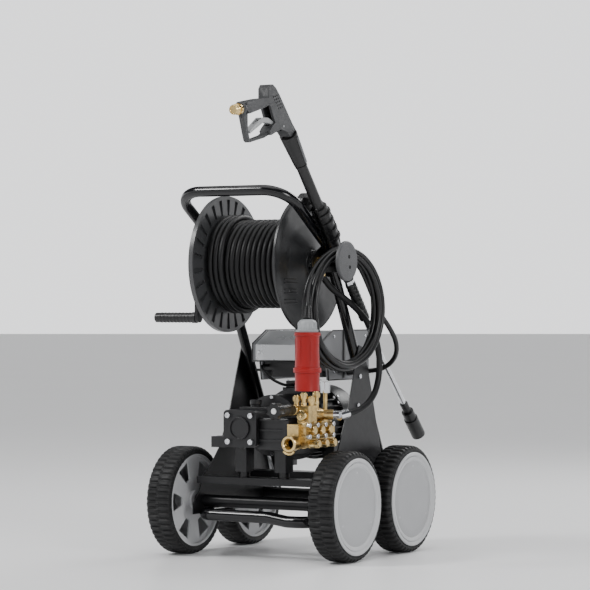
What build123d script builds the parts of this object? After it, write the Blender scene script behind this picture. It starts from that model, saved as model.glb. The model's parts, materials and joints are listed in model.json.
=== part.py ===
from build123d import *
import math
import os

# Cold-water pressure washer on a four-wheeled trolley, with a hose reel and a spray lance.
# Millimetres. +Z is up, -Y is the front (pump and handle bar), +X is the lance side.
# Parts are drawn about the floor point midway between the wheels, then moved together so
# that the origin is the middle of the machine's footprint.

# Wheels and axles
WHEEL_RADIUS = 130.0
WHEEL_WIDTH = 65.0
TRACK = 441.0
WHEELBASE = 286.0
AXLE_RADIUS = 10.0
RUNNING_GAP = 0.05
RIM_RADIUS = 111.0

# Frame
FRAME_HALF_WIDTH = 150.0
TUBE_RADIUS = 12.5
TUBE_WALL = 2.0
BAR_Y, BAR_Z = -295.0, 868.0
BEND_Y, BEND_Z = -100.0, 740.0
FOOT_Y, FOOT_Z = 206.0, 150.0
SHEET = 3.0
CHANNEL_TOP = 191.0
CHANNEL_DEPTH = 50.0

# Hose reel
REEL_Y, REEL_Z = -126.0, 700.0
REEL_HALF_WIDTH = 109.0
FLANGE_RADIUS = 164.0
FLANGE_THICK = 10.0
DRUM_RADIUS = 80.0
HOSE_DIAMETER = 14.2
SHAFT_RADIUS = 12.0
CRANK_X = -194.0
CRANK_REACH = 129.0
GRIP_LENGTH = 108.0

# Lance, drawn along its own line in the plane X = LANCE_X
LANCE_X = 180.0
MUZZLE_Y, MUZZLE_Z = -339.0, 991.0
LANCE_ANGLE = 48.8
LANCE_RADIUS = 13.0
GUN_HALF_WIDTH = 14.0
LIFT_GAP = 0.6
GUARD_HALF_WIDTH = 6.5
INLET_RADIUS, INLET_LENGTH = 11.0, 16.3

# Pump and motor share one axis along Y
PUMP_X, PUMP_Z = -9.0, 312.0
PUMP_FRONT = -240.0
PLUNGER_PITCH = 38.0
PLUNGER_YS = [-198.0, -160.0, -122.0]
HEAD_LEFT, HEAD_RIGHT = 118.0, 160.0
HEAD_FRONT, HEAD_BACK = -236.0, -84.0
HEAD_LOW, HEAD_TOP = 268.0, 324.0
BELL_RADIUS = 74.0
MOTOR_RADIUS = 86.0
COWL_RADIUS = 91.0
BELL_FRONT, MOTOR_FRONT, COWL_FRONT, COWL_BACK = -88.0, 20.0, 128.0, 185.0
SHAFT_END = 176.0

# Control box
BOX_HALF_WIDTH = 95.0
BOX_FRONT, BOX_BACK = -35.0, 205.0
BOX_LOW, BOX_LIP, BOX_STEP, BOX_TOP = 420.0, 467.0, 506.0, 538.0

# Power cable, hung on the hook as a coil
CABLE_DIAMETER = 12.0
COIL_CENTRE = (213.0, -139.0, 593.0)
COIL_HALF_WIDTH, COIL_HALF_HEIGHT = 150.0, 151.0
COIL_THICK, COIL_BREADTH = 36.0, 30.0
COIL_TURN = 8.0
PLUG_X, PLUG_Y = 222.0, -325.0
PLUG_RADIUS = 28.5

FREE_CORD_NODES = ["power_cable", "power_cable_coil", "power_plug", "plug_gland", "wound_hose"]


def box(x0, x1, y0, y1, z0, z1):
    return Pos((x0 + x1) / 2, (y0 + y1) / 2, (z0 + z1) / 2) * Box(x1 - x0, y1 - y0, z1 - z0)


def rod(start, end, radius):
    run = Vector(*end) - Vector(*start)
    return Solid.make_cylinder(radius, run.length, Plane(origin=start, z_dir=run))


def collar(start, end, radius, bore):
    return rod(start, end, radius) - rod(start, end, bore)


def side_prism(points, x0, x1):
    """A plate with its outline in the YZ plane, from x0 to x1."""
    corners = [Vector(x0, y, z) for y, z in points]
    return Solid.extrude(Face(Wire.make_polygon(corners, close=True)), Vector(x1 - x0, 0, 0))


def rounded_plate(x, y, z, width, height, thick, radius):
    """A plate facing along Y with rounded corners, its front face at y."""
    outline = Plane(origin=(x, y + thick, z), z_dir=(0, -1, 0)) * RectangleRounded(width, height, radius)
    return extrude(outline, thick)


def pipe(points, radii, radius, bore=0.0):
    path = FilletPolyline(*points, radius=radii)
    start = Plane(origin=points[0], z_dir=path % 0)
    body = sweep(start * Circle(radius), path=path)
    if bore:
        body -= sweep(start * Circle(bore), path=path)
    return body


def easy_radii(points):
    """Tangent arcs that use most of each corner's shorter run."""
    radii = []
    for before, corner, after in zip(points, points[1:], points[2:]):
        into = Vector(*corner) - Vector(*before)
        out = Vector(*after) - Vector(*corner)
        half_turn = math.radians(into.get_angle(out) / 2)
        radii.append(0.45 * min(into.length, out.length) / math.tan(half_turn))
    return radii


def cord(name, points, diameter):
    radii = easy_radii(points)
    tube = pipe(points, radii, diameter / 2)
    length = tube.volume / (math.pi * diameter**2 / 4)
    print(name, "length", round(length), "radii", [round(r) for r in radii])
    return tube


# ---- frame ----

def handle_frame():
    half = FRAME_HALF_WIDTH
    points = [(-half, FOOT_Y, FOOT_Z), (-half, BEND_Y, BEND_Z), (-half, BAR_Y, BAR_Z)]
    points += [(half, y, z) for _, y, z in reversed(points)]
    return pipe(points, [90, 65, 65, 90], TUBE_RADIUS, TUBE_RADIUS - TUBE_WALL)


def side_plate(side):
    outline = [(28, 505), (-27, 353), (-75, 259), (-106, 228), (-159, 185), (-172, 155), (-199, 125)]
    outline += [(-199, 100), (172, 100), (172, 165), (138, 254), (78, 440), (48, 500)]
    inner = FRAME_HALF_WIDTH + TUBE_RADIUS
    plate = side_prism(outline, side * inner, side * (inner + SHEET))
    for y in (-WHEELBASE / 2, WHEELBASE / 2):
        plate -= rod((side * 100, y, WHEEL_RADIUS), (side * 200, y, WHEEL_RADIUS), 15)
    return plate


def reel_bracket(side):
    outer = FRAME_HALF_WIDTH - TUBE_RADIUS
    plate = side_prism([(-148, 722), (-96, 745), (-60, 668), (-106, 672), (-146, 680)],
                       side * (outer - 4), side * outer)
    plate += rod((side * (outer - 4), REEL_Y, REEL_Z), (side * outer, REEL_Y, REEL_Z), 27)
    bore = SHAFT_RADIUS + RUNNING_GAP
    return plate - rod((side * 120, REEL_Y, REEL_Z), (side * 150, REEL_Y, REEL_Z), bore)


def frame_plates():
    return Compound(children=[side_plate(-1), side_plate(1), reel_bracket(-1), reel_bracket(1)])


def channel(front):
    """An inverted U channel across the frame, its flanges turned down."""
    half, wall, drop = FRAME_HALF_WIDTH + TUBE_RADIUS, 3, 16
    body = box(-half, half, front, front + CHANNEL_DEPTH, CHANNEL_TOP - drop, CHANNEL_TOP)
    inside = box(-half, half, front + wall, front + CHANNEL_DEPTH - wall, 0, CHANNEL_TOP - wall)
    return body - inside


def cross_members():
    reach = (TRACK - WHEEL_WIDTH) / 2 - 1.5
    tubes = [collar((-reach, y, WHEEL_RADIUS), (reach, y, WHEEL_RADIUS), 15, AXLE_RADIUS)
             for y in (-WHEELBASE / 2, WHEELBASE / 2)]
    inner = FRAME_HALF_WIDTH - TUBE_RADIUS
    back_bar = rod((-inner, FOOT_Y, FOOT_Z + 8), (inner, FOOT_Y, FOOT_Z + 8), 7)
    return Compound(children=[channel(-185), channel(70), back_bar, *tubes])


def bumper_tube():
    side, front, low = 148, -190, 101
    points = [(-side, -60, low), (-side, front, low), (40, front, low - 1), (95, front - 8, low - 8)]
    points += [(side, front - 8, low - 8), (side, -60, low - 8)]
    return pipe(points, [32, 90, 60, 32], 14, 12)


def axles():
    reach = TRACK / 2 + 23.5
    return Compound(children=[rod((-reach, y, WHEEL_RADIUS), (reach, y, WHEEL_RADIUS), AXLE_RADIUS)
                              for y in (-WHEELBASE / 2, WHEELBASE / 2)])


# ---- wheels, drawn about their own centre with the outside towards +X ----

def spun(points):
    """A ring turned about X from its outline in (x, radius)."""
    corners = [Vector(x, 0, r) for x, r in points]
    return revolve(Face(Wire.make_polygon(corners, close=True)), Axis.X)


def tyre():
    half = WHEEL_WIDTH / 2
    return spun([(-half, RIM_RADIUS), (-half, 121), (-half + 3, 126), (-half + 9, WHEEL_RADIUS),
                 (half - 9, WHEEL_RADIUS), (half - 3, 126), (half, 121), (half, RIM_RADIUS)])


def hub():
    rim = spun([(-31, 105), (-31, RIM_RADIUS), (31, RIM_RADIUS), (31, 105)])
    web = spun([(-24, 20), (-24, 106), (-20, 106), (-20, 20)])
    boss = spun([(-32, AXLE_RADIUS + RUNNING_GAP), (-32, 24), (17, 21), (17, AXLE_RADIUS + RUNNING_GAP)])
    window = side_prism([(-9, 52), (9, 52), (24, 94), (-24, 94)], -30, -10)
    for spoke in range(6):
        web -= Rot(X=60 * spoke + 30) * window
    return rim + web + boss


def hub_cap():
    return spun([(28, 90), (28, 0), (31.5, 0), (31.5, 103), (34, 105), (36, 108), (36, 112),
                 (34.5, 113.5), (32.7, 113.5), (32.7, 108), (30, 104.6), (22, 104.6), (22, 102), (28, 102)])


def wheel_parts():
    made = {}
    for end, y in (("front", -WHEELBASE / 2), ("rear", WHEELBASE / 2)):
        for side, turn, x in (("right", 0, TRACK / 2), ("left", 180, -TRACK / 2)):
            place = Pos(x, y, WHEEL_RADIUS) * Rot(Z=turn)
            made[f"tyre_{end}_{side}"] = place * tyre()
            made[f"hub_{end}_{side}"] = Compound(children=[place * hub(), place * hub_cap()])
    return made


# ---- hose reel ----

def on_reel(x):
    return (x, REEL_Y, REEL_Z)


def reel_flange_left():
    inner, outer = -REEL_HALF_WIDTH, -REEL_HALF_WIDTH - FLANGE_THICK
    disc = rod(on_reel(outer), on_reel(inner), FLANGE_RADIUS)
    slot = side_prism([(-3.5, 118), (3.5, 118), (7, 156), (-7, 156)], inner - 6, inner + 1)
    for tooth in range(26):
        disc -= Pos(0, REEL_Y, REEL_Z) * Rot(X=tooth * 360 / 26) * slot
    return disc


def reel_flange_right():
    inner = REEL_HALF_WIDTH
    outline = [(inner, 0), (inner, FLANGE_RADIUS), (inner + 5, FLANGE_RADIUS), (inner + 7, 150),
               (inner + 4, 100), (inner + 10, 60), (inner + 16, 34), (inner + 16, 0)]
    return Pos(0, REEL_Y, REEL_Z) * spun(outline)


def with_shaft_hole(part):
    return part - rod(on_reel(-250), on_reel(250), SHAFT_RADIUS)


def reel_drum():
    reach = REEL_HALF_WIDTH
    return collar(on_reel(-reach), on_reel(reach), DRUM_RADIUS, DRUM_RADIUS - 5)


def wound_hose():
    """The outer shape of the wound hose: two full layers and four turns of a third."""
    reach = REEL_HALF_WIDTH - 1
    second, third = DRUM_RADIUS + 1.87 * HOSE_DIAMETER, DRUM_RADIUS + 2.75 * HOSE_DIAMETER
    full = collar(on_reel(-reach), on_reel(reach), second, DRUM_RADIUS)
    return full + collar(on_reel(-reach), on_reel(-reach + 4.2 * HOSE_DIAMETER), third, DRUM_RADIUS)


def reel_swivel():
    body = rod(on_reel(144.5), on_reel(160), 15) + rod(on_reel(138), on_reel(145), 18)
    body += rod(on_reel(150), (150, REEL_Y, REEL_Z - 30), 8)
    return body - rod(on_reel(130), on_reel(155), SHAFT_RADIUS + RUNNING_GAP)


def crank_arm():
    half = 4
    low = REEL_Z - CRANK_REACH
    bar = box(CRANK_X - half, CRANK_X + half, REEL_Y - 12, REEL_Y + 12, low, REEL_Z)
    for z in (low, REEL_Z):
        bar += rod((CRANK_X - half, REEL_Y, z), (CRANK_X + half, REEL_Y, z), 12)
    bar += rod((CRANK_X, REEL_Y, low), (CRANK_X - GRIP_LENGTH, REEL_Y, low), 4)
    return bar - rod(on_reel(CRANK_X - 20), on_reel(CRANK_X + 20), SHAFT_RADIUS - 3)


def reel_shaft():
    shaft = rod(on_reel(CRANK_X + 4), on_reel(154), SHAFT_RADIUS)
    return shaft + rod(on_reel(CRANK_X - 9), on_reel(CRANK_X + 4), SHAFT_RADIUS - 3)


def crank_grip():
    low = REEL_Z - CRANK_REACH
    start, end = CRANK_X - 5, CRANK_X - 5 - GRIP_LENGTH - 7
    grip = rod((start - 10, REEL_Y, low), (end, REEL_Y, low), 12)
    grip += rod((start, REEL_Y, low), (start - 11, REEL_Y, low), 13.5)
    return grip - rod((start, REEL_Y, low), (CRANK_X - GRIP_LENGTH - 2, REEL_Y, low), 4 + RUNNING_GAP)


# ---- lance: u runs back along the barrel from the muzzle end of the gun, v towards the guard ----

ALONG = (-math.cos(math.radians(LANCE_ANGLE)), math.sin(math.radians(LANCE_ANGLE)))
ACROSS = (-math.sin(math.radians(LANCE_ANGLE)), -math.cos(math.radians(LANCE_ANGLE)))


def lance_point(u, v=0.0):
    return (LANCE_X, MUZZLE_Y + u * ALONG[0] + v * ACROSS[0], MUZZLE_Z + u * ALONG[1] + v * ACROSS[1])


def gun_prism(points, half_width):
    """A plate in the gun's own plane, from its outline in (u, v)."""
    flat = [lance_point(u, v)[1:] for u, v in points]
    return side_prism(flat, LANCE_X - half_width, LANCE_X + half_width)


def lance_rod(u0, u1, radius):
    return rod(lance_point(u0), lance_point(u1), radius)


def gun_whole():
    body = gun_prism([(2, -15), (4, 14), (21, 18), (40, 34), (66, 47), (84, 46), (112, 40), (118, 46), (126, 66),
                      (155, 125), (167, 127), (181, 115), (149, 62), (130, 34), (146, 20), (148, 8), (142, 0),
                      (128, -6), (106, -9), (24, -12)], GUN_HALF_WIDTH)
    root = gun_prism([(40, 30), (49, 50), (60, 80), (71, 80), (72, 64), (70, 44)], GUN_HALF_WIDTH)
    guard = gun_prism([(58, 74), (68, 100), (94, 147), (98, 155), (106, 158), (124, 152), (163, 137), (168, 124),
                       (152, 121), (126, 143), (106, 151), (100, 147), (76, 100), (70, 74)], GUARD_HALF_WIDTH)
    return body + root + guard


def gun_shells():
    """Two moulded halves that meet on the gun's middle plane."""
    whole = gun_whole()
    whole -= lance_rod(-5, 16, LANCE_RADIUS)
    whole -= rod(inlet_point(47), inlet_point(0), 8) + rod(inlet_point(16.5), inlet_point(0), 13.3)
    whole -= gun_prism([(50, 3.5), (50, 60), (112, 60), (112, 3.5)], 8.5)
    whole -= gun_prism([(30, 14), (30, 40), (52, 40), (52, 14)], 8.5)
    whole -= rod((LANCE_X - 30, *lance_point(*TRIGGER_PIN)[1:]), (LANCE_X + 30, *lance_point(*TRIGGER_PIN)[1:]), 2.5)
    left = box(LANCE_X - 60, LANCE_X, -800, 0, 800, 1300)
    right = box(LANCE_X, LANCE_X + 60, -800, 0, 800, 1300)
    return Compound(children=[whole & left, whole & right])


TRIGGER_PIN = (42, 24)
LATCH_PIN = (105, 92)


def gun_trigger():
    """A two-legged lever on a cross pin, its blade running inside the guard."""
    blade = gun_prism([(38, 20), (38, 30), (65, 50), (84, 65), (97, 81), (111, 132), (113, 142), (119, 141),
                       (110, 80), (93, 58), (60, 38), (48, 20)], 7.5)
    blade -= gun_prism([(94, 86), (94, 108), (120, 108), (120, 86)], 4)
    pin_line = lance_point(*TRIGGER_PIN)[1:]
    catch_line = lance_point(*LATCH_PIN)[1:]
    blade += rod((LANCE_X - 15, *pin_line), (LANCE_X + 15, *pin_line), 2.45)
    return blade + rod((LANCE_X - 7, *catch_line), (LANCE_X + 7, *catch_line), 1.6)


def gun_latch():
    """The safety catch, a small lever in the blade's slot that swings out towards the grip."""
    foot = lance_point(*LATCH_PIN)[1:]
    latch = gun_prism([(102, 91), (108, 90), (112, 104), (107, 105)], 3.4)
    latch += rod((LANCE_X - 3.4, *foot), (LANCE_X + 3.4, *foot), 3.4)
    return latch - rod((LANCE_X - 9, *foot), (LANCE_X + 9, *foot), 1.65)


def inlet_point(back):
    """A point on the axis of the gun's hose inlet, measured back from its shoulder."""
    return lance_point(181 - 0.552 * back, 142 - 0.834 * back)


def gun_inlet():
    stub = rod(inlet_point(45), inlet_point(0), 8)
    nut = rod(inlet_point(16), inlet_point(0), 13)
    return stub + nut + rod(inlet_point(0), inlet_point(-INLET_LENGTH), INLET_RADIUS)


def gun_valve():
    body = rod(lance_point(52, 12), lance_point(94, 12), 7.5)
    return body + rod(lance_point(60, 12), lance_point(60, 27), 4)


def lance_sleeve():
    cone = Solid.make_cone(21, 15.5, 84, Plane(origin=lance_point(0), z_dir=(0, -ALONG[0], -ALONG[1])))
    return cone - lance_rod(1, -90, LANCE_RADIUS)


def lance_tube():
    return collar(lance_point(15), lance_point(-436), LANCE_RADIUS, 9)


def lance_grip():
    return collar(lance_point(-448), lance_point(-560), 12.5, 6)


def lance_nut():
    across = Plane(origin=lance_point(-436), z_dir=(0, -ALONG[0], -ALONG[1]))
    return extrude(across * RegularPolygon(11.8, 6), 12) - lance_rod(-434, -450, 6)


def lance_pipe():
    turn = lance_point(-640)
    end = (LANCE_X, turn[1] + 178, turn[2] - 178)
    return pipe([lance_point(-437), turn, end], [400], 6, 4.2)


def nozzle_guard():
    turn = lance_point(-640)
    start = (LANCE_X, turn[1] + 172, turn[2] - 172)
    middle = (LANCE_X, turn[1] + 190, turn[2] - 190)
    end = (LANCE_X, turn[1] + 232, turn[2] - 232)
    slim = (LANCE_X, turn[1] + 152, turn[2] - 152)
    guard = rod(start, middle, 15) + rod(middle, end, 17.5) + rod(slim, start, 10)
    return guard - rod(slim, middle, 6) - rod(middle, end, 11)


def lance_holder():
    start, end = -214, -310
    body = lance_rod(start, end, 20)
    for fin in range(4):
        u = start - 14 - 24 * fin
        body += lance_rod(u, u - 5, 24)
    foot_y, foot_z = lance_point(-250)[1:]
    body -= lance_rod(start + 5, end - 5, LANCE_RADIUS + LIFT_GAP)
    mouth = gun_prism([(start + 5, 6), (start + 5, 40), (end - 5, 40), (end - 5, 6)], 7)
    body -= mouth
    keep_out = box(100, FRAME_HALF_WIDTH + TUBE_RADIUS + 0.2, foot_y - 300, foot_y + 400, 500, 1000)
    clamp = rod((FRAME_HALF_WIDTH - 6, -212, 838), (FRAME_HALF_WIDTH + 8, -212, 838), 25)
    arm_gap = rod((FRAME_HALF_WIDTH, BEND_Y, BEND_Z), (FRAME_HALF_WIDTH, BAR_Y, BAR_Z), TUBE_RADIUS + 0.1)
    strut = box(FRAME_HALF_WIDTH + 2, LANCE_X - 15, -224, -196, 836, 852)
    return (body - keep_out) + (clamp + strut - arm_gap)


def cable_hook():
    """A bracket on the right leg: the lance passes through it, and the cable hangs on its post."""
    inner = FRAME_HALF_WIDTH + TUBE_RADIUS
    block = side_prism([(-142, 708), (-112, 727), (-74, 734), (-52, 690), (-64, 676), (-142, 686)],
                       inner + 1, 196)
    post = side_prism([(-186, 692), (-166, 700), (-124, 703.5), (-124, 682), (-186, 678)], 188, 236)
    block += post
    block -= lance_rod(-300, -520, LANCE_RADIUS + LIFT_GAP)
    leg = rod((FRAME_HALF_WIDTH, BEND_Y, BEND_Z), (FRAME_HALF_WIDTH, FOOT_Y, FOOT_Z), TUBE_RADIUS)
    pad = box(inner - 6, inner + 2, -94, -60, 684, 716)
    return block + (pad - leg)


def cable_hook_plate():
    middle_y, middle_z = -170, 704
    disc = rod((236, middle_y, middle_z), (244, middle_y, middle_z), 47)
    return fillet(disc.edges().filter_by(GeomType.CIRCLE).sort_by(Axis.X)[-1], 4)


# ---- motor ----

def on_motor(y):
    return (PUMP_X, y, PUMP_Z)


def motor_housing():
    shell = collar(on_motor(MOTOR_FRONT), on_motor(COWL_FRONT), MOTOR_RADIUS - 7, 70)
    for fin in range(30):
        angle = 360 * fin / 30
        rib = box(-1.5, 1.5, MOTOR_FRONT + 4, COWL_FRONT, MOTOR_RADIUS - 9, MOTOR_RADIUS)
        shell += Pos(PUMP_X, 0, PUMP_Z) * Rot(Y=angle) * rib
    front = collar(on_motor(MOTOR_FRONT - 4), on_motor(MOTOR_FRONT + 8), MOTOR_RADIUS - 4, 13)
    back = collar(on_motor(COWL_FRONT - 6), on_motor(COWL_FRONT), 76, 13)
    feet = [box(x - 16, x + 16, 78, 114, 205, 262) for x in (PUMP_X - 62, PUMP_X + 62)]
    keep = rod(on_motor(0), on_motor(200), MOTOR_RADIUS - 8)
    return shell + front + back + [foot - keep for foot in feet]


def bell_housing():
    body = collar(on_motor(BELL_FRONT), on_motor(MOTOR_FRONT - 4), BELL_RADIUS, 62)
    return body + collar(on_motor(BELL_FRONT), on_motor(BELL_FRONT + 6), BELL_RADIUS, 16)


def fan_cowl():
    body = collar(on_motor(COWL_FRONT - 14), on_motor(COWL_BACK), COWL_RADIUS, COWL_RADIUS - 2.5)
    grille = collar(on_motor(COWL_BACK - 3), on_motor(COWL_BACK), COWL_RADIUS, 8)
    for ring, count in ((24, 8), (42, 14), (60, 20), (76, 26)):
        for hole in range(count):
            angle = 2 * math.pi * hole / count
            x, z = PUMP_X + ring * math.cos(angle), PUMP_Z + ring * math.sin(angle)
            grille -= rod((x, COWL_BACK - 5, z), (x, COWL_BACK + 1, z), 5.5)
    return body + grille


def motor_rotor():
    shaft = rod(on_motor(-218), on_motor(SHAFT_END), 11)
    return shaft + rod(on_motor(38), on_motor(112), 66)


def cooling_fan():
    fan = rod(on_motor(140), on_motor(172), 20)
    for blade in range(7):
        vane = box(-1.2, 1.2, 142, 170, 18, 80)
        fan += Pos(PUMP_X, 0, PUMP_Z) * Rot(Y=360 * blade / 7) * vane
    return fan - rod(on_motor(130), on_motor(180), 11)


def terminal_box():
    base = PUMP_Z + MOTOR_RADIUS - 12
    lower = box(PUMP_X - 40, PUMP_X + 34, 30, 104, base, base + 14)
    return lower + box(PUMP_X - 34, PUMP_X + 28, 36, 98, base + 14, base + 30) - rod(
        on_motor(0), on_motor(150), MOTOR_RADIUS + 0.1)


# ---- control box ----

def control_box_base():
    """The black tray under the cover, and the strap that hangs it between the legs."""
    tray = box(-88, 88, BOX_FRONT + 42, BOX_BACK - 4, BOX_LOW + 22, BOX_LIP)
    tray += box(-70, 70, BOX_FRONT + 52, BOX_BACK - 30, BOX_LOW + 6, BOX_LOW + 22)
    inner = FRAME_HALF_WIDTH - TUBE_RADIUS
    y = 62
    tray += box(-inner - 6, inner + 6, y - 12, y + 12, BOX_LOW + 18, BOX_LOW + 24)
    for side in (-1, 1):
        leg = rod((side * FRAME_HALF_WIDTH, BEND_Y, BEND_Z), (side * FRAME_HALF_WIDTH, FOOT_Y, FOOT_Z),
                  TUBE_RADIUS)
        tray -= leg
    return tray


def box_outline(inset):
    return [(BOX_FRONT + inset, BOX_LIP + inset), (BOX_FRONT + inset, BOX_STEP - inset * 0.6),
            (28 + inset * 0.5, BOX_TOP - inset), (BOX_BACK - inset, BOX_TOP - inset),
            (BOX_BACK - inset, BOX_LIP + inset)]


def control_box_cover():
    half = BOX_HALF_WIDTH - 7
    shell = side_prism(box_outline(0), -half, half)
    hollow = side_prism(box_outline(2), -half - 1, half + 1)
    hollow += box(-half - 1, half + 1, BOX_FRONT + 20, BOX_BACK - 2, BOX_LIP - 3, BOX_LIP + 4)
    shell -= hollow
    return shell - rod((60, BOX_FRONT - 5, 486), (60, BOX_FRONT + 8, 486), 6)


def control_box_ends():
    outline = [(BOX_FRONT - 2, BOX_LIP - 3), (BOX_FRONT - 2, BOX_STEP + 2), (27, BOX_TOP + 2),
               (BOX_BACK + 2, BOX_TOP + 2), (BOX_BACK + 2, BOX_LOW), (BOX_FRONT + 40, BOX_LOW),
               (BOX_FRONT + 34, BOX_LIP - 3)]
    half = BOX_HALF_WIDTH
    strap_slot = box(-half - 5, half + 5, 50, 74, BOX_LOW + 18, BOX_LOW + 24)
    return Compound(children=[side_prism(outline, s * (half - 7), s * half) - strap_slot for s in (-1, 1)])


def switch_knob():
    x, z = 60, 486
    knob = rod((x, BOX_FRONT - 3, z), (x, BOX_FRONT - 12, z), 16)
    knob += box(x - 5, x + 5, BOX_FRONT - 22, BOX_FRONT - 10, z - 15, z + 15)
    return knob + rod((x, BOX_FRONT - 4, z), (x, BOX_FRONT + 12, z), 6 - RUNNING_GAP)


# ---- pump ----

def crankcase():
    body = box(PUMP_X - 50, PUMP_X + 42, PUMP_FRONT + 9, BELL_FRONT, PUMP_Z - 42, PUMP_Z + 42)
    body = fillet(body.edges().filter_by(Axis.Y), 10)
    guide = box(PUMP_X + 40, HEAD_LEFT, PUMP_FRONT + 18, BELL_FRONT - 2, PUMP_Z - 52, PUMP_Z + 26)
    body += fillet(guide.edges().filter_by(Axis.X), 6)
    for z in (PUMP_Z - 30, PUMP_Z - 6, PUMP_Z + 18):
        body += box(PUMP_X + 40, HEAD_LEFT - 8, PUMP_FRONT + 12, PUMP_FRONT + 20, z, z + 4)
    body += box(HEAD_LEFT - 16, HEAD_LEFT, PUMP_FRONT + 10, BELL_FRONT, PUMP_Z - 60, PUMP_Z + 20)
    for rib in range(5):
        y = PUMP_FRONT + 22 + 24 * rib
        body += box(PUMP_X - 92, PUMP_X - 49, y, y + 12, PUMP_Z - 48, PUMP_Z - 22)
    body += box(PUMP_X - 88, PUMP_X - 49, PUMP_FRONT + 26, PUMP_FRONT + 124, PUMP_Z - 44, PUMP_Z - 26)
    for x in (PUMP_X - 34, PUMP_X + 74):
        body += box(x - 15, x + 15, -178, -142, 205, PUMP_Z - 40)
    body -= rod(on_motor(PUMP_FRONT + 14), on_motor(BELL_FRONT + 1), 34)
    for y in PLUNGER_YS:
        body -= rod((PUMP_X, y, PUMP_Z - 16), (HEAD_LEFT + 1, y, PUMP_Z - 16), 9)
    return body


def crankcase_cover():
    plate = rounded_plate(PUMP_X + 1, PUMP_FRONT, PUMP_Z - 1, 88, 88, 9, 12)
    plate += collar(on_motor(PUMP_FRONT - 5), on_motor(PUMP_FRONT), 27, 23)
    return plate + rod(on_motor(PUMP_FRONT - 2), on_motor(PUMP_FRONT), 23)


def cover_bolt_places():
    return [(PUMP_X + 1 + sx * 31, PUMP_Z - 1 + sz * 31) for sx in (-1, 1) for sz in (-1, 1)]


def fasteners():
    """Pump cover bolts, pump head bolts, and the axle end rings."""
    made = [rod((x, PUMP_FRONT - 6, z), (x, PUMP_FRONT, z), 6) for x, z in cover_bolt_places()]
    for z in (HEAD_TOP - 3, HEAD_TOP - 29):
        for y in head_bolt_ys():
            made.append(rod((HEAD_RIGHT, y, z), (HEAD_RIGHT + 7, y, z), 5.5))
    for y in (-WHEELBASE / 2, WHEELBASE / 2):
        for side in (-1, 1):
            start = side * (TRACK / 2 + 18)
            made.append(collar((start, y, WHEEL_RADIUS), (start + side * 3, y, WHEEL_RADIUS), 15, AXLE_RADIUS))
    return Compound(children=made)


def head_bolt_ys():
    return [PLUNGER_YS[0] - PLUNGER_PITCH / 2 + PLUNGER_PITCH * place for place in range(4)]


def head_bosses():
    return [rod((HEAD_RIGHT - 14, y, z), (HEAD_RIGHT, y, z), 9)
            for y in head_bolt_ys() for z in (HEAD_TOP - 3, HEAD_TOP - 29)]


def pump_head():
    block = box(HEAD_LEFT, HEAD_RIGHT - 12, HEAD_FRONT, HEAD_BACK, HEAD_LOW, HEAD_TOP)
    block += box(HEAD_RIGHT - 14, HEAD_RIGHT, HEAD_FRONT + 12, HEAD_BACK, HEAD_LOW + 14, HEAD_TOP)
    block += head_bosses()
    inlet = rod((132, HEAD_FRONT + 2, 279), (132, HEAD_FRONT - 14, 279), 18)
    block += inlet
    for y in PLUNGER_YS:
        block -= rod((HEAD_LEFT - 1, y, PUMP_Z - 16), (HEAD_LEFT + 22, y, PUMP_Z - 16), 9)
    return block - rod((132, HEAD_FRONT - 15, 279), (132, HEAD_FRONT + 16, 279), 12.1)


def valve_caps():
    made = []
    for y in PLUNGER_YS:
        made.append(rod((HEAD_RIGHT, y, HEAD_TOP - 15), (HEAD_RIGHT + 6, y, HEAD_TOP - 15), 10.5))
        made.append(rod((HEAD_RIGHT, y, HEAD_LOW + 10), (HEAD_RIGHT + 12, y, HEAD_LOW + 10), 9.5)
                    - box(HEAD_RIGHT - 14, HEAD_RIGHT, HEAD_FRONT, HEAD_BACK, HEAD_LOW + 14, HEAD_TOP))
    return Compound(children=made)


def plungers():
    return Compound(children=[rod((PUMP_X + 60, y, PUMP_Z - 16), (HEAD_LEFT + 14, y, PUMP_Z - 16), 8.9)
                              for y in PLUNGER_YS])


def unloader_body():
    """The brass valve block above the head, with its two stacks of hose fittings."""
    block = box(128, 158, -206, -166, HEAD_TOP, 366)
    block += rod((143, -166, 345), (143, -124, 345), 14)
    block += rod((143, -126, 343), (172, -112, 343), 12)
    block += rod((132, -206, 356), (132, -190, 356), 9)
    for x, y, top in ((118, -192, 392), (134, -186, 398), (148, -176, 390), (146, -148, 400)):
        block += rod((x, y, 350 if x > 125 else 357), (x, y, top - 14), 6)
        block += rod((x, y, top - 16), (x, y, top - 4), 8.5)
    block += box(112, 132, -200, -184, 352, 364)
    block += rod((150, -116, HEAD_TOP), (150, -116, 338), 10)
    block += rod((150, -112, 340), (150, -112, SENSOR_LOW), 5)
    block -= head_bosses()
    return block + regulator_stem()


KNOB_AXIS = (113.0, -206.0, 356.0)
SENSOR_LOW = 394.0


def regulator_knob():
    x, y, z = KNOB_AXIS
    knob = rod((x, y - 72, z), (x, y - 8, z), 15)
    knob += rod((x, y - 84, z), (x, y - 66, z), 20)
    for lobe in range(8):
        angle = math.pi * lobe / 4
        knob -= rod((x + 22 * math.cos(angle), y - 90, z + 22 * math.sin(angle)),
                    (x + 22 * math.cos(angle), y, z + 22 * math.sin(angle)), 6)
    return knob - rod((x, y - 70, z), (x, y, z), 6 + RUNNING_GAP)


def regulator_stem():
    x, y, z = KNOB_AXIS
    return rod((x, y - 68, z), (x, y + 4, z), 6) + rod((x, y - 6, z), (x, y + 8, z), 11)


def outlet_elbow():
    """The plated elbow to the pump hose, and the round switch on the stem behind it."""
    elbow = rod((172, -112, 343), (184.4, -106, 343), 9) + rod((183.8, -106.1, 340.3), PUMP_HOSE[0], 11)
    sensor = rod((150, -112, SENSOR_LOW), (150, -112, SENSOR_LOW + 26), 12)
    return Compound(children=[elbow, sensor])


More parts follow.
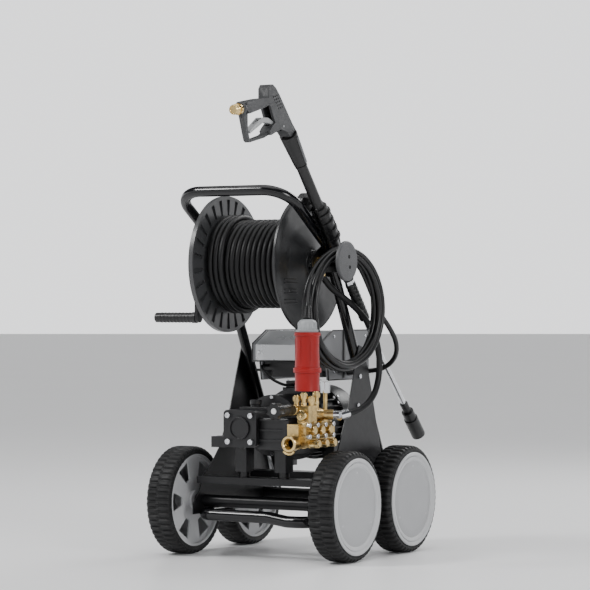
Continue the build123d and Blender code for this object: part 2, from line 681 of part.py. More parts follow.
def rubber_mounts():
    places = [(PUMP_X - 34, -160), (PUMP_X + 74, -160), (PUMP_X - 62, 95), (PUMP_X + 62, 95)]
    return Compound(children=[rod((x, y, CHANNEL_TOP), (x, y, 205), 13) for x, y in places])


# ---- hoses and cables ----

PUMP_HOSE = [(191, -76.7, 345), (200.6, -37.5, 351.3), (207.6, -0.6, 367), (210.6, 29.2, 394.5),
             (210.3, 46.6, 431.2), (209.6, 50.8, 471.8), (206.2, 43.9, 511.8), (199.5, 25.9, 547.7),
             (190.5, -0.5, 577.5), (180.2, -31.7, 601.8), (169.3, -65.3, 622.5), (158.4, -99.5, 642.1),
             (150, -126, 670)]
MOTOR_LEAD = [(-12, 36, 407), (-12, -26, 407), (-30.9, -49.3, 420.7), (-57.6, -49.3, 440),
              (-76.6, -26, 453.7), (-76.6, 7, 453.7)]


def power_cable_lead():
    """From the gland on the control box to the back of the hung coil."""
    points = [(95, 104, 440), (128, 104, 440), (160, 104, 441), (190, 104, 447), (216, 101, 462), (236, 90, 485),
              (246, 68, 515), (243, 36, 550), (231, 8, 583)]
    return cord("power_cable lead", points, CABLE_DIAMETER)


def power_cable_tail():
    """From the front of the hung coil down into the plug's gland."""
    points = [(195, -258, 660), (201.5, -280.2, 642.2), (209.2, -298.5, 620.3), (PLUG_X - 4, PLUG_Y + 9, 597),
              (PLUG_X, PLUG_Y, 570)]
    return cord("power_cable tail", points, CABLE_DIAMETER)


def power_cable():
    coil = power_cable_coil()
    return Compound(children=[power_cable_lead() - coil, power_cable_tail() - coil - plug_gland()])


def power_cable_coil():
    """An upright oval ring of turns, hung on the post with its plane turned a little."""
    centre = Plane(origin=COIL_CENTRE, x_dir=(math.sin(math.radians(COIL_TURN)),
                                              math.cos(math.radians(COIL_TURN)), 0),
                   z_dir=(math.cos(math.radians(COIL_TURN)), -math.sin(math.radians(COIL_TURN)), 0))
    outside = extrude(centre * Ellipse(COIL_HALF_WIDTH, COIL_HALF_HEIGHT), COIL_BREADTH / 2, both=True)
    inside = extrude(centre * Ellipse(COIL_HALF_WIDTH - COIL_THICK, COIL_HALF_HEIGHT - COIL_THICK),
                     COIL_BREADTH, both=True)
    return outside - inside


def power_plug():
    top, rim, end = 540, 458, 406
    body = rod((PLUG_X, PLUG_Y, top), (PLUG_X, PLUG_Y, rim), PLUG_RADIUS)
    body += rod((PLUG_X, PLUG_Y, rim), (PLUG_X, PLUG_Y, rim - 10), PLUG_RADIUS + 3.5)
    body += rod((PLUG_X, PLUG_Y, rim - 10), (PLUG_X, PLUG_Y, end), PLUG_RADIUS)
    return body - rod((PLUG_X, PLUG_Y, rim - 14), (PLUG_X, PLUG_Y, end), PLUG_RADIUS - 3)


def plug_gland():
    nut = extrude(Plane(origin=(PLUG_X, PLUG_Y, 540)) * RegularPolygon(24, 8), 22)
    return nut + rod((PLUG_X, PLUG_Y, 562), (PLUG_X, PLUG_Y, 570), 19)


def build():
    parts = {
        "handle_frame": handle_frame(), "frame_plates": frame_plates(), "cross_members": cross_members(),
        "bumper_tube": bumper_tube(), "axles": axles(), "fasteners": fasteners(), **wheel_parts(),
        "reel_flange_left": with_shaft_hole(reel_flange_left()),
        "reel_flange_right": with_shaft_hole(reel_flange_right()),
        "reel_drum": reel_drum(), "wound_hose": wound_hose(), "reel_swivel": reel_swivel(),
        "reel_shaft": reel_shaft(), "crank_arm": crank_arm(), "crank_grip": crank_grip(),
        "gun_shells": gun_shells(), "gun_trigger": gun_trigger(), "gun_latch": gun_latch(),
        "gun_inlet": gun_inlet(), "gun_valve": gun_valve(), "lance_sleeve": lance_sleeve(),
        "lance_tube": lance_tube(), "lance_grip": lance_grip(), "lance_pipe": lance_pipe() + lance_nut(),
        "nozzle_guard": nozzle_guard(), "lance_holder": lance_holder(),
        "cable_hook": cable_hook(), "cable_hook_plate": cable_hook_plate(),
        "motor_housing": motor_housing(), "bell_housing": bell_housing(), "fan_cowl": fan_cowl(),
        "motor_rotor": motor_rotor(), "cooling_fan": cooling_fan(), "terminal_box": terminal_box(),
        "control_box_base": control_box_base(), "control_box_cover": control_box_cover(),
        "control_box_ends": control_box_ends(), "switch_knob": switch_knob(),
        "crankcase": crankcase(), "crankcase_cover": crankcase_cover(), "pump_head": pump_head(),
        "valve_caps": valve_caps(), "plungers": plungers(), "unloader_body": unloader_body(),
        "regulator_knob": regulator_knob(),
        "outlet_elbow": outlet_elbow(), "rubber_mounts": rubber_mounts(),
        "pump_hose": cord("pump_hose", PUMP_HOSE, 15) - reel_swivel(),
        "motor_lead": cord("motor_lead", MOTOR_LEAD, 7), "power_cable": power_cable(),
        "power_cable_coil": power_cable_coil(), "power_plug": power_plug(), "plug_gland": plug_gland(),
    }
    return parts


def footprint_middle(parts):
    boxes = [part.bounding_box() for name, part in parts.items() if name not in FREE_CORD_NODES]
    low_x, high_x = min(b.min.X for b in boxes), max(b.max.X for b in boxes)
    low_y, high_y = min(b.min.Y for b in boxes), max(b.max.Y for b in boxes)
    return ((low_x + high_x) / 2, (low_y + high_y) / 2)


PARTS = build()
ORIGIN = footprint_middle(PARTS)
print("origin", ORIGIN, "parts", len(PARTS))
os.makedirs("parts", exist_ok=True)
for name, part in PARTS.items():
    export_step(Pos(-ORIGIN[0], -ORIGIN[1], 0) * part, f"parts/{name}.step")
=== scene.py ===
import bpy
import json
import math
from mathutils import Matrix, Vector


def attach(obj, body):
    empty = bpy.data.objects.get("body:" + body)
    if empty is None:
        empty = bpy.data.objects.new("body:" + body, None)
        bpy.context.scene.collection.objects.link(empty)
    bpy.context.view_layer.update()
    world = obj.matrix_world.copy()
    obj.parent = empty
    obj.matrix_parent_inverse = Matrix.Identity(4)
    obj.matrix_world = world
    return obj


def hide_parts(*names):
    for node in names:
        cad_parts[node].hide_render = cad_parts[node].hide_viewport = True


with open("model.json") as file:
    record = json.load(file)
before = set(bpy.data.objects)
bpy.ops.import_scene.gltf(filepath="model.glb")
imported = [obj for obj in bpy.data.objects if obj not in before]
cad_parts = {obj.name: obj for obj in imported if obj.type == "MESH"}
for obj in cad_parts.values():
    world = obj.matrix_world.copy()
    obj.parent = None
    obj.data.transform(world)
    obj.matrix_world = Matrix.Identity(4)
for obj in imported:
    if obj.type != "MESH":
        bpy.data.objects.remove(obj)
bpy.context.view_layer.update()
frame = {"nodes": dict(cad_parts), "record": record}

# The machine is described about the floor point midway between its wheels, in millimetres,
# and put into the row frame in metres.
record = frame["record"]
wheel_places = [j["pos_m"] for j in record["behaviour"]["joints"] if j["name"].startswith("wheel_")]
HOME = Vector((sum(p[0] for p in wheel_places) / 4, sum(p[1] for p in wheel_places) / 4, 0))


def at(x, y, z):
    return HOME + Vector((x, y, z)) / 1000


# ---- camera ----
camera = bpy.data.objects.new("camera", bpy.data.cameras.new("camera"))
bpy.context.scene.collection.objects.link(camera)
camera.data.sensor_width = 36
camera.data.lens = 154.1
camera.data.clip_end = 50
camera.location = at(3054, -5333.6, 605.8)
camera.rotation_euler = (at(2.5, 2.2, 626) - camera.location).to_track_quat("-Z", "Y").to_euler()
bpy.context.scene.camera = camera


# ---- materials ----
def material(name, color, rough, metal=0.0, grain=(600, 0.12), fine=(2500, 0.08), tone=(14, 0.18), wear=None,
             rough_spread=0.12, cell=None, gloss=0.5):
    """A surface with broad tone changes, a grain, fine pores and lighter worn edges. Scales are per metre."""
    mat = bpy.data.materials.new(name)
    mat.use_nodes = True
    tree = mat.node_tree
    node, link = tree.nodes.new, tree.links.new
    shader = tree.nodes["Principled BSDF"]
    shader.inputs["Metallic"].default_value = metal
    shader.inputs["Specular IOR Level"].default_value = gloss
    place = node("ShaderNodeTexCoord").outputs["Object"]

    def cloud(scale, detail=5.0):
        tex = node("ShaderNodeTexNoise")
        tex.inputs["Scale"].default_value = scale
        tex.inputs["Detail"].default_value = detail
        link(place, tex.inputs["Vector"])
        return tex.outputs["Fac"]

    ramp = node("ShaderNodeValToRGB")
    ramp.color_ramp.elements[0].position, ramp.color_ramp.elements[1].position = 0.3, 0.7
    low, high = 1 - tone[1], 1 + tone[1]
    ramp.color_ramp.elements[0].color = (*[c * low for c in color], 1)
    ramp.color_ramp.elements[1].color = (*[min(1, c * high) for c in color], 1)
    link(cloud(tone[0]), ramp.inputs["Fac"])
    shade = ramp.outputs["Color"]
    if wear:
        edge = node("ShaderNodeValToRGB")
        edge.color_ramp.elements[0].position, edge.color_ramp.elements[1].position = 0.60, 0.74
        link(node("ShaderNodeNewGeometry").outputs["Pointiness"], edge.inputs["Fac"])
        speck = node("ShaderNodeMath")
        speck.operation = "MULTIPLY"
        link(edge.outputs["Color"], speck.inputs[0])
        link(cloud(180), speck.inputs[1])
        mix = node("ShaderNodeMix")
        mix.data_type = "RGBA"
        link(speck.outputs[0], mix.inputs["Factor"])
        link(shade, mix.inputs["A"])
        mix.inputs["B"].default_value = (*wear, 1)
        shade = mix.outputs["Result"]
    link(shade, shader.inputs["Base Color"])
    spread = node("ShaderNodeMapRange")
    spread.inputs["To Min"].default_value = max(0.03, rough - rough_spread)
    spread.inputs["To Max"].default_value = min(1, rough + rough_spread)
    link(cloud(tone[0] * 5), spread.inputs["Value"])
    link(spread.outputs["Result"], shader.inputs["Roughness"])
    bump = None
    layers = [(cloud(grain[0]), grain[1]), (cloud(fine[0], 2.0), fine[1])]
    if cell:
        pores = node("ShaderNodeTexVoronoi")
        pores.inputs["Scale"].default_value = cell[0]
        link(place, pores.inputs["Vector"])
        layers.append((pores.outputs["Distance"], cell[1]))
    for height, strength in layers:
        step = node("ShaderNodeBump")
        step.inputs["Strength"].default_value = strength
        step.inputs["Distance"].default_value = 0.0006
        link(height, step.inputs["Height"])
        if bump:
            link(bump, step.inputs["Normal"])
        bump = step.outputs["Normal"]
    link(bump, shader.inputs["Normal"])
    return mat


MATS = {
    "tube": material("black_tube_enamel", (0.004, 0.004, 0.005), 0.17, grain=(300, 0.04), fine=(1200, 0.03),
                     tone=(9, 0.3), wear=(0.04, 0.04, 0.045), gloss=0.45, rough_spread=0.05),
    "sheet": material("black_sheet_enamel", (0.007, 0.007, 0.008), 0.36, grain=(700, 0.10), gloss=0.35,
                      wear=(0.05, 0.05, 0.055)),
    "steel": material("bright_steel", (0.62, 0.63, 0.65), 0.24, metal=1.0, grain=(420, 0.08), tone=(30, 0.12)),
    "chrome": material("plated_steel", (0.74, 0.75, 0.77), 0.16, metal=1.0, grain=(300, 0.03), tone=(25, 0.08)),
    "tyre": material("tyre_rubber", (0.008, 0.008, 0.0085), 0.55, grain=(350, 0.22), fine=(1800, 0.16),
                     tone=(18, 0.3), wear=(0.022, 0.022, 0.021), gloss=0.35),
    "hub": material("light_grey_moulding", (0.47, 0.475, 0.485), 0.42, tone=(12, 0.05),
                    wear=(0.62, 0.62, 0.63)),
    "cap_face": material("cap_disc_moulding", (0.36, 0.365, 0.375), 0.40, grain=(1300, 0.16), tone=(6, 0.05)),
    "reel_dark": material("reel_grey_moulding", (0.014, 0.0145, 0.0155), 0.33, grain=(500, 0.08),
                          tone=(10, 0.15), wear=(0.05, 0.05, 0.052)),
    "reel_face": material("reel_face_moulding", (0.045, 0.046, 0.048), 0.34, grain=(500, 0.08), tone=(8, 0.12),
                          wear=(0.12, 0.12, 0.12)),
    "plastic": material("black_moulding", (0.006, 0.006, 0.0065), 0.36, grain=(900, 0.16), cell=(1500, 0.10),
                        wear=(0.025, 0.025, 0.025), gloss=0.42),
    "hose": material("hose_rubber", (0.0045, 0.0045, 0.005), 0.46, grain=(800, 0.16), fine=(2600, 0.14),
                     tone=(25, 0.35), cell=(900, 0.10), gloss=0.3),
    "cable": material("cable_sheath", (0.006, 0.006, 0.0065), 0.33, grain=(700, 0.08), tone=(20, 0.3),
                      gloss=0.4),
    "gun": material("gun_moulding", (0.040, 0.041, 0.043), 0.46, grain=(900, 0.25), cell=(1300, 0.3),
                    wear=(0.09, 0.09, 0.092), gloss=0.4),
    "gun_strip": material("grip_strip", (0.12, 0.122, 0.126), 0.46, grain=(900, 0.15)),
    "plate": material("hook_disc_moulding", (0.060, 0.061, 0.064), 0.42, grain=(900, 0.3), cell=(1500, 0.25)),
    "lever": material("lever_moulding", (0.30, 0.305, 0.31), 0.32, grain=(600, 0.08), wear=(0.5, 0.5, 0.5)),
    "brass": material("cast_brass", (0.56, 0.40, 0.17), 0.30, metal=1.0, grain=(380, 0.30), fine=(1700, 0.2),
                      tone=(45, 0.32), wear=(0.86, 0.70, 0.38)),
    "brass_turned": material("turned_brass", (0.70, 0.52, 0.24), 0.20, metal=1.0, grain=(600, 0.06),
                             tone=(40, 0.15)),
    "motor": material("cast_black_coat", (0.007, 0.007, 0.008), 0.38, grain=(420, 0.32), fine=(1500, 0.2),
                      wear=(0.04, 0.04, 0.042), gloss=0.45),
    "silver": material("silver_coated_sheet", (0.50, 0.51, 0.52), 0.30, metal=0.45, grain=(900, 0.10),
                       fine=(3200, 0.10), tone=(7, 0.05), wear=(0.75, 0.75, 0.76)),
    "grey": material("grey_coated_sheet", (0.16, 0.163, 0.17), 0.36, metal=0.2, grain=(900, 0.10),
                     tone=(9, 0.08)),
    "red": material("red_moulding", (0.27, 0.005, 0.004), 0.34, grain=(500, 0.05), fine=(2200, 0.06),
                    tone=(20, 0.10), gloss=0.3),
    "gland": material("pale_moulding", (0.30, 0.31, 0.32), 0.36, grain=(600, 0.08), wear=(0.5, 0.5, 0.5)),
    "white": material("pale_screw_face", (0.70, 0.70, 0.70), 0.32, metal=0.5, grain=(600, 0.06)),
    "dark": material("shadow_recess", (0.002, 0.002, 0.002), 0.7, grain=(500, 0.1), gloss=0.1),
    "floor": material("pale_floor", (0.86, 0.86, 0.865), 0.40, grain=(40, 0.01), fine=(300, 0.01),
                      tone=(0.8, 0.008), rough_spread=0.04),
}


# ---- building helpers ----
def piece(name, points, faces, mat, body, crease=32, bevel=0.0):
    """A mesh from points in the row frame; faces sharper than the crease angle stay crisp."""
    mesh = bpy.data.meshes.new(name)
    mesh.from_pydata([tuple(p) for p in points], [], faces)
    mesh.validate()
    mesh.polygons.foreach_set("use_smooth", [True] * len(mesh.polygons))
    mesh.set_sharp_from_angle(angle=math.radians(crease))
    mesh.materials.append(MATS[mat])
    obj = bpy.data.objects.new(name, mesh)
    bpy.context.scene.collection.objects.link(obj)
    if bevel:
        edge = obj.modifiers.new("soft_edges", "BEVEL")
        edge.width, edge.segments, edge.limit_method = bevel / 1000, 3, "ANGLE"
        edge.angle_limit = math.radians(crease)
        edge.harden_normals = True
    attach(obj, body)
    return obj


class Shape:
    """Points and faces gathered from several simple solids, for one piece."""

    def __init__(self):
        self.points, self.faces = [], []

    def add(self, points, faces):
        start = len(self.points)
        self.points += points
        self.faces += [tuple(start + i for i in face) for face in faces]

    def turned(self, origin, direction, outline, steps=48, shape=None):
        """A solid turned about a line: outline is (distance along, radius), design millimetres."""
        way = Vector(direction).normalized()
        side = way.orthogonal().normalized()
        other = way.cross(side)
        points, faces = [], []
        for step in range(steps):
            angle = 2 * math.pi * step / steps
            out = side * math.cos(angle) + other * math.sin(angle)
            for along, radius in outline:
                r = shape(step, along, radius) if shape else radius
                points.append(at(*(Vector(origin) + way * along + out * r)))
        count = len(outline)
        for step in range(steps):
            a, b = step * count, (step + 1) % steps * count
            for i in range(count - 1):
                faces.append((a + i, b + i, b + i + 1, a + i + 1))
        faces.append(tuple(step * count for step in reversed(range(steps))))
        faces.append(tuple(step * count + count - 1 for step in range(steps)))
        self.add(points, faces)

    def ring(self, origin, direction, outline, steps=48, shape=None):
        """As turned, but the outline closes on itself and leaves the middle open."""
        self.turned(origin, direction, outline, steps, shape)
        count, first = len(outline), len(self.points) - steps * len(outline)
        del self.faces[-2:]
        for step in range(steps):
            a, b = first + step * count, first + (step + 1) % steps * count
            self.faces.append((a + count - 1, b + count - 1, b, a))

    def plate(self, outline, place, low, high):
        """A flat plate: outline in (a, b), place turns (a, b, depth) into design millimetres."""
        count = len(outline)
        points = [at(*place(a, b, low)) for a, b in outline] + [at(*place(a, b, high)) for a, b in outline]
        faces = [tuple(reversed(range(count))), tuple(range(count, 2 * count))]
        faces += [(i, (i + 1) % count, count + (i + 1) % count, count + i) for i in range(count)]
        self.add(points, faces)

    def block(self, x0, x1, y0, y1, z0, z1):
        self.plate([(x0, y0), (x1, y0), (x1, y1), (x0, y1)], lambda a, b, c: (a, b, c), z0, z1)

    def sweep(self, route, radius, steps=14, shut=False):
        """A round bar along points in design millimetres."""
        route = [Vector(p) for p in route]
        points, faces = [], []
        turn = None
        for i, spot in enumerate(route):
            before = route[i - 1] if (i or shut) else route[0]
            after = route[(i + 1) % len(route)] if (i + 1 < len(route) or shut) else route[-1]
            way = (after - before).normalized()
            turn = way.orthogonal().normalized() if turn is None else (turn - way * turn.dot(way)).normalized()
            other = way.cross(turn)
            for k in range(steps):
                angle = 2 * math.pi * k / steps
                points.append(at(*(spot + (turn * math.cos(angle) + other * math.sin(angle)) * radius)))
        rows = len(route) if shut else len(route) - 1
        for i in range(rows):
            a, b = i * steps, (i + 1) % len(route) * steps
            for k in range(steps):
                faces.append((a + k, a + (k + 1) % steps, b + (k + 1) % steps, b + k))
        if not shut:
            faces.append(tuple(reversed(range(steps))))
            faces.append(tuple((len(route) - 1) * steps + k for k in range(steps)))
        self.add(points, faces)

    def made(self, name, mat, body, slot, crease=32, bevel=0.0):
        return piece(name, self.points, self.faces, mat, body, crease, bevel)


def hexagon(radius, turn=0.0, sides=6):
    angles = [2 * math.pi * k / sides + turn for k in range(sides)]
    return [(radius * math.cos(angle), radius * math.sin(angle)) for angle in angles]


# ---- free cords: the wound hose, and the power cable from its gland to its plug ----
def cord_curve(name, route, diameter, mat, body, fine=4):
    data = bpy.data.curves.new(name, "CURVE")
    data.dimensions = "3D"
    data.bevel_depth = diameter / 2000
    data.bevel_resolution = 4
    data.resolution_u = fine
    data.use_fill_caps = True
    line = data.splines.new("NURBS")
    line.points.add(len(route) - 1)
    for point, place in zip(line.points, route):
        point.co = (*at(*place), 1)
    line.order_u = 3
    line.use_endpoint_u = True
    data.materials.append(MATS[mat])
    obj = bpy.data.objects.new(name, data)
    bpy.context.scene.collection.objects.link(obj)
    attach(obj, body)
    return obj


def curve_length(obj):
    data = obj.data
    depth, data.bevel_depth = data.bevel_depth, 0
    line = bpy.data.meshes.new_from_object(obj.evaluated_get(bpy.context.evaluated_depsgraph_get()))
    data.bevel_depth = depth
    spots = [v.co.copy() for v in line.vertices]
    bpy.data.meshes.remove(line)
    bpy.context.view_layer.update()
    return sum((b - a).length for a, b in zip(spots, spots[1:]))


REEL_Y, REEL_Z, HOSE, DRUM = -126.0, 700.0, 14.2, 80.0
TURN_POINTS = 20
CORNER_CUT = math.cos(math.pi / TURN_POINTS)


def wound_route():
    """Two layers across the drum and back, then a few turns of a third at the left."""
    edge = 100.9
    layers = [(-edge, edge, 87.1, 14), (edge, -edge, 99.45, 14), (-edge, -54.5, 111.9, 3.2)]
    spots, angle = [], math.radians(-60)
    step = 2 * math.pi / TURN_POINTS
    for x0, x1, radius, turns in layers:
        count = int(turns * TURN_POINTS)
        for k in range(count):
            share = k / count
            lift = radius if k > 4 or radius < 90 else radius - 12.4 * (1 - k / 5)
            spots.append((x0 + (x1 - x0) * share, REEL_Y + lift / CORNER_CUT * math.cos(angle),
                          REEL_Z + lift / CORNER_CUT * math.sin(angle)))
            angle += step
    return spots, angle - step


hose_route, hose_end_angle = wound_route()
hose = cord_curve("wound_hose_turns", hose_route, HOSE, "hose", "reel", fine=3)
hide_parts("wound_hose")

COIL_CENTRE, COIL_TURN = Vector((213, -139, 593)), math.radians(8)
STRANDS = [(-6.3, -11.5), (-6.5, 0.5), (-6.0, 12.0), (6.8, 12.5), (6.5, 0.5), (7.0, -11.5), (7.0, -11.5)]


def coil_route(turns, per_turn=20):
    out = Vector((math.sin(COIL_TURN), math.cos(COIL_TURN), 0))
    flat = Vector((math.cos(COIL_TURN), -math.sin(COIL_TURN), 0))
    spots, count = [], int(turns * per_turn)
    for k in range(2, count - 1):
        share = k / per_turn
        turn, part = int(share), share - int(share)
        part = part * part * (3 - 2 * part)
        radial = STRANDS[turn][0] * (1 - part) + STRANDS[turn + 1][0] * part
        across = STRANDS[turn][1] * (1 - part) + STRANDS[turn + 1][1] * part
        angle = 2 * math.pi * share
        sag = max(0.0, -math.sin(angle)) ** 2
        radial += 3.4 * sag * math.sin(turn * 2.1 + 0.6)
        across *= 1.15 - 0.3 * max(0.0, math.sin(angle)) ** 2 + 0.45 * max(0.0, -math.cos(angle)) ** 2
        wide, tall = (132 + radial) / CORNER_CUT, (133 + radial) / CORNER_CUT
        spots.append(tuple(COIL_CENTRE + out * wide * math.cos(angle) + flat * across
                           + Vector((0, 0, 1)) * tall * math.sin(angle)))
    return spots


LEAD = [(95, 104, 440), (128, 104, 440), (160, 104, 441), (190, 104, 447), (216, 101, 462), (236, 90, 485),
        (246, 68, 515), (243, 36, 550), (231, 8, 583)]
PLUG_X, PLUG_Y = 222.0, -325.0
TAIL = [(195, -258, 660), (201.5, -280.2, 642.2), (209.2, -298.5, 620.3), (PLUG_X - 4, PLUG_Y + 9, 597),
        (PLUG_X, PLUG_Y, 570)]
cable = cord_curve("power_cable_line", LEAD + coil_route(5.40) + TAIL, 12, "cable",
                   "trolley", fine=5)
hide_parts("power_cable", "power_cable_coil")


# ---- wheels ----
WHEELS = {"front_left": (-220.5, -143, -1), "front_right": (220.5, -143, 1),
          "rear_left": (-220.5, 143, -1), "rear_right": (220.5, 143, 1)}
TYRE_OUTLINE = [(-30, 111), (-31.6, 111.2), (-32.4, 113), (-32.4, 115.2), (-31.4, 116), (-31.4, 117.4),
                (-32.4, 118.2), (-32.4, 121), (-31.5, 124), (-29.5, 126.6), (-26.5, 128.6), (-22, 129.6),
                (-14, 129.9), (-13, 129.9), (-4, 130), (4, 130), (13, 129.9), (14, 129.9), (22, 129.6),
                (26.5, 128.6), (29.5, 126.6), (31.5, 124), (32.4, 121), (32.4, 118.2), (31.4, 117.4),
                (31.4, 116), (32.4, 115.2), (32.4, 113), (31.6, 111.2), (30, 111)]


def tread(step, along, radius):
    """Lateral grooves from each shoulder, staggered from one side to the other."""
    if radius < 123.5:
        return radius
    phase = step % 5 if along < 0 else (step + 2) % 5
    groove = phase in (0, 1) and abs(along) > 3
    return radius - (4.2 if groove else 0.0)


for name, (x, y, side) in WHEELS.items():
    shape = Shape()
    shape.ring((x, y, 130), (side, 0, 0), TYRE_OUTLINE, steps=260, shape=tread)
    tyre = shape.made(f"tyre_tread_{name}", "tyre", f"wheel_{name}", "tyre_black", crease=28)
    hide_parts(f"tyre_{name}")
    clips = Shape()
    for k in range(3):
        angle = math.radians(90 + 120 * k)
        spot = (x + side * 31.2, y + 80 * math.cos(angle), 130 + 80 * math.sin(angle))
        clips.turned(spot, (side, 0, 0), [(0, 0.6), (0, 3.2), (0.9, 3.0), (1.2, 2.2), (1.2, 0.6)], 20)
    clips.ring((x + side * 31.4, y, 130), (side, 0, 0),
               [(0, 94.5), (1.5, 95.5), (2.4, 98), (2.5, 102.5), (1.5, 103), (0, 103)], 120)
    clips.made(f"cap_rim_{name}", "hub", f"wheel_{name}", "hub_grey")
    face = Shape()
    face.turned((x + side * 31.3, y, 130), (side, 0, 0),
                [(0, 1), (0, 92.6), (0.5, 92.4), (1.0, 91.4), (0.75, 70), (0.6, 40), (0.55, 1)], 120)
    face.made(f"cap_face_{name}", "cap_face", f"wheel_{name}", "hub_grey")


# ---- finishes of the CAD pieces ----
FINISH = {
    "tube": ["handle_frame", "bumper_tube"],
    "sheet": ["frame_plates", "cross_members", "crank_arm"],
    "steel": ["axles", "fasteners", "reel_shaft", "motor_rotor", "plungers"],
    "chrome": ["lance_pipe", "outlet_elbow"],
    "hub": [f"hub_{name}" for name in WHEELS],
    "reel_face": ["reel_flange_left"],
    "reel_dark": ["reel_flange_right", "reel_drum"],
    "plate": ["cable_hook_plate"],
    "plastic": ["crank_grip", "lance_grip", "lance_sleeve", "lance_tube", "lance_holder", "nozzle_guard",
                "cable_hook", "regulator_knob", "switch_knob", "control_box_base", "cooling_fan", "fan_cowl",
                "terminal_box", "rubber_mounts"],
    "hose": ["pump_hose", "motor_lead"],
    "lever": ["gun_trigger", "gun_latch"],
    "brass": ["pump_head", "unloader_body", "gun_valve"],
    "brass_turned": ["gun_inlet", "valve_caps", "reel_swivel"],
    "motor": ["motor_housing", "bell_housing", "crankcase", "crankcase_cover"],
    "silver": ["control_box_cover"],
    "grey": ["control_box_ends"],
    "gun": ["gun_shells"],
    "red": ["power_plug"],
    "gland": ["plug_gland"],
}
BEVELS = {"crankcase": 2.0, "crankcase_cover": 1.4, "pump_head": 1.5, "control_box_cover": 1.0,
          "control_box_ends": 1.0, "gun_trigger": 1.5, "terminal_box": 2.0, "lance_holder": 0.9,
          "cable_hook": 1.5, "crank_arm": 0.8, "fasteners": 0.8, "regulator_knob": 0.9, "switch_knob": 1.2,
          "unloader_body": 1.0, "frame_plates": 0.5, "cross_members": 0.8, "motor_housing": 0.5}


def smoothing(name, bevel):
    """Joins the split corners of a CAD mesh, then shades it smooth across shallow angles."""
    tree = bpy.data.node_groups.get("cad_smoothing")
    if not tree:
        tree = bpy.data.node_groups.new("cad_smoothing", "GeometryNodeTree")
        tree.interface.new_socket("Geometry", in_out="INPUT", socket_type="NodeSocketGeometry")
        tree.interface.new_socket("Geometry", in_out="OUTPUT", socket_type="NodeSocketGeometry")
        node, link = tree.nodes.new, tree.links.new
        start, end = node("NodeGroupInput"), node("NodeGroupOutput")
        weld = node("GeometryNodeMergeByDistance")
        weld.inputs["Distance"].default_value = 0.000004
        angle = node("GeometryNodeInputMeshEdgeAngle")
        flat = node("FunctionNodeCompare")
        flat.operation = "LESS_THAN"
        flat.inputs["B"].default_value = math.radians(30)
        faces, edges = node("GeometryNodeSetShadeSmooth"), node("GeometryNodeSetShadeSmooth")
        faces.domain, edges.domain = "FACE", "EDGE"
        link(start.outputs[0], weld.inputs["Geometry"])
        link(weld.outputs[0], faces.inputs["Geometry"])
        link(faces.outputs[0], edges.inputs["Geometry"])
        link(angle.outputs["Unsigned Angle"], flat.inputs["A"])
        link(flat.outputs["Result"], edges.inputs["Shade Smooth"])
        link(edges.outputs[0], end.inputs[0])
    obj = frame["nodes"][name]
    obj.modifiers.new("shading", "NODES").node_group = tree
    if bevel:
        edge = obj.modifiers.new("soft_edges", "BEVEL")
        edge.width, edge.segments, edge.limit_method = bevel / 1000, 2, "ANGLE"
        edge.angle_limit = math.radians(40)
        edge.harden_normals = True


for key, nodes in FINISH.items():
    for name in nodes:
        for slot in frame["nodes"][name].material_slots:
            slot.material = MATS[key]
        smoothing(name, BEVELS.get(name, 0))

# ---- small details on the machine ----
LANCE_X, MUZZLE = 180.0, (-339.0, 991.0)
SLOPE = math.radians(48.8)
ALONG, ACROSS = (-math.cos(SLOPE), math.sin(SLOPE)), (-math.sin(SLOPE), -math.cos(SLOPE))


def on_lance(u, v=0.0, x=LANCE_X):
    return (x, MUZZLE[0] + u * ALONG[0] + v * ACROSS[0], MUZZLE[1] + u * ALONG[1] + v * ACROSS[1])


AXLE_Z = 130
SHAFT_X, SHAFT_Z = -9, 312
INLET_X, INLET_Z = 132, 279
KNOB_X, KNOB_Z = 113, 356


def socket_screw(shape, spot, way, radius, high, steps=24):
    """A cap screw: its head with a chamfered rim and a sunk centre."""
    shape.turned(spot, way, [(0, radius), (high - 0.6, radius), (high, radius - 0.6), (high, radius * 0.5),
                             (high - 1.2, radius * 0.42), (high - 1.2, 0.2)], steps)


# the gun and lance: grip openings, end cap, rings, strips, collars and inlet threads
holes = Shape()
for row in range(5):
    for col in range(3):
        u, v = 119 - 8.4 * row - 3.4 * col, 17 - 7.4 * col - 0.5 * row
        for x, way in ((194.0, 1), (166.0, -1)):
            holes.turned(on_lance(u, v, x - way * 0.3), (way, 0, 0), [(0, 2.0), (0.42, 2.0), (0.42, 0.2)], 16)
holes.made("gun_vent_holes", "dark", "lance", "gun_grey")
grip_cap = Shape()
axis_way = Vector(on_lance(0.552, 0.834)) - Vector(on_lance(0, 0))
cap_spot = Vector(on_lance(181, 142)) - axis_way * 22
grip_cap.turned(cap_spot, axis_way, [(0, 12), (2, 14.8), (8, 15.6), (12, 14.6), (14, 13.4)], 32)
grip_cap.made("grip_cap", "gun", "lance", "gun_grey")
bead = Shape()
for k in range(9):
    bead.ring(on_lance(-452 - 12 * k), (0, -ALONG[0], -ALONG[1]),
              [(0, 12.3), (1.5, 13.3), (4, 13.3), (5.5, 12.3)], 28)
bead.made("grip_rings", "plastic", "lance", "plastic_black")
strip = Shape()
for side in (1, -1):
    spots = [on_lance(-8 - 9 * k, 0, LANCE_X + side * (20.8 - 0.56 * k)) for k in range(9)]
    strip.sweep(spots, 3.2, 10)
strip.made("sleeve_strips", "gun_strip", "lance", "gun_grey")
collars = Shape()
for u in (-86, -210):
    collars.ring(on_lance(u), (0, -ALONG[0], -ALONG[1]), [(0, 13), (0.8, 14.6), (5, 14.6), (6, 13)], 32)
collars.made("lance_collars", "plastic", "lance", "plastic_black")
nose = Shape()
nose_way = axis_way.normalized()
start = Vector(on_lance(181, 142))
